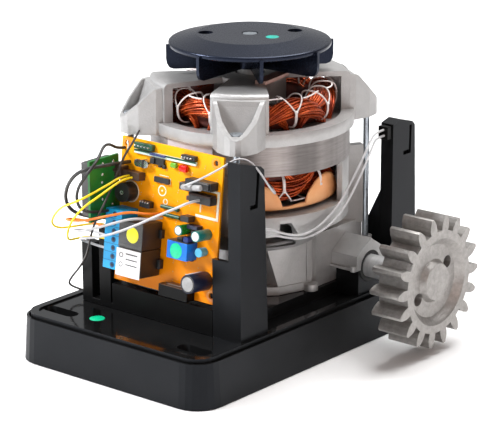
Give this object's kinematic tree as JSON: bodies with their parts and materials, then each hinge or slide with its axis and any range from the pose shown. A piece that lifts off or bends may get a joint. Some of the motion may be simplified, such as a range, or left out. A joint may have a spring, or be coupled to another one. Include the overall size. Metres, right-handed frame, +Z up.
{
  "type": "sliding gate motor",
  "caption": "Sliding gate motor shown without its cover: upright fan-cooled motor over a worm gear case, output pinion, control board on a bracket, all on a slotted moulded base.",
  "frame": {"origin": "centre of the four fixing slots, on the underside plane of the base", "axes": "+Z up, the output shaft points along +X towards the gate, the control board faces -Y"},
  "size_m": [0.1923, 0.238, 0.1874],
  "materials": {
    "black_gloss": "glossy moulded black",
    "black_satin": "satin moulded black",
    "cast_alloy": "shot-blasted die casting",
    "bearing_steel": "ground",
    "gear_bronze": "machined bronze",
    "shaft_steel": "ground",
    "pinion_steel": "sintered, lightly machined",
    "lamination_steel": "stacked laminations",
    "rotor_steel": "turned",
    "copper_wire": "enamelled copper",
    "insulation": "pale insulation paper",
    "zinc_screw": "zinc plated",
    "seal_rubber": "matt",
    "switch_bronze": "matt",
    "plate_white": "bare foil",
    "board_orange": "lacquered laminate",
    "terminal_cyan": "moulded",
    "relay_brown": "moulded",
    "lamp_relay_blue": "moulded",
    "black_component": "moulded",
    "crystal_silver": "pressed can",
    "strip_white": "moulded",
    "led_lens": "coloured lens",
    "connector_brown": "moulded",
    "diode_green": "lacquered",
    "thermistor_dark": "lacquered",
    "can_teal": "sleeved can",
    "varistor_cyan": "lacquered",
    "capacitor_sleeve": "sleeved can",
    "receiver_green": "lacquered laminate",
    "receiver_grey": "pressed screen",
    "cable_black": "sheathed",
    "lead_brown": "sheathed",
    "wire_yellow": "sheathed",
    "wire_pale": "sheathed"
  },
  "bodies": {
    "frame": {"aerial_cable": "cable_black", "aerial_connector": "connector_brown", "base": "black_gloss", "board_bracket": "black_satin", "buzzer": "black_component", "chips": "black_component", "close_relay": "relay_brown", "cover_screws": "zinc_screw", "crystal": "crystal_silver", "diodes": "diode_green", "earth_lead": "lead_brown", "edge_strip": "strip_white", "fuse_holder": "connector_brown", "housing_screws": "zinc_screw", "inner_output_bearing": "bearing_steel", "insulation_paper": "insulation", "lamp_relay": "lamp_relay_blue", "limit_connector": "black_component", "limit_sensor": "black_satin", "loop_cable": "cable_black", "lower_bearing": "bearing_steel", "lower_housing": "cast_alloy", "lower_winding": "copper_wire", "main_board": "board_orange", "main_capacitor": "capacitor_sleeve", "middle_bearing": "bearing_steel", "motor_connector": "black_component", "motor_plate": "plate_white", "motor_wires": "wire_pale", "open_relay": "relay_brown", "outer_output_bearing": "bearing_steel", "output_housing": "cast_alloy", "pin_headers": "black_component", "receiver_board": "receiver_green", "receiver_can": "receiver_grey", "sensor_cable": "wire_pale", "shaft_seal": "seal_rubber", "side_cover": "cast_alloy", "small_capacitors": "can_teal", "stator_core": "lamination_steel", "status_leds": "led_lens", "terminal_block": "terminal_cyan", "thermal_switch": "switch_bronze", "thermistor": "thermistor_dark", "tie_screws": "zinc_screw", "transistor": "black_component", "upper_bearing": "bearing_steel", "upper_bell": "cast_alloy", "upper_winding": "copper_wire", "varistor": "varistor_cyan", "yellow_wires": "wire_yellow"},
    "motor_rotor": {"rotor_shaft": "shaft_steel", "rotor": "rotor_steel", "fan": "black_gloss", "fan_screw": "zinc_screw"},
    "output": {"output_shaft": "shaft_steel", "worm_wheel": "gear_bronze", "wheel_key": "shaft_steel", "pinion_key": "shaft_steel", "pinion_gear": "pinion_steel"}
  },
  "joints": [
    {"name": "rotor_spin", "type": "hinge", "parent": "frame", "child": "motor_rotor", "pos_m": [0.0105, 0, 0.1], "axis": [0, 0, 1], "continuous": true},
    {"name": "output_spin", "type": "hinge", "parent": "frame", "child": "output", "pos_m": [0.0105, 0.0425, 0.0457], "axis": [1, 0, 0], "continuous": true}
  ],
  "couplings": [
    {"joint": "output_spin", "follows": "rotor_spin", "ratio": 0.033333}
  ]
}
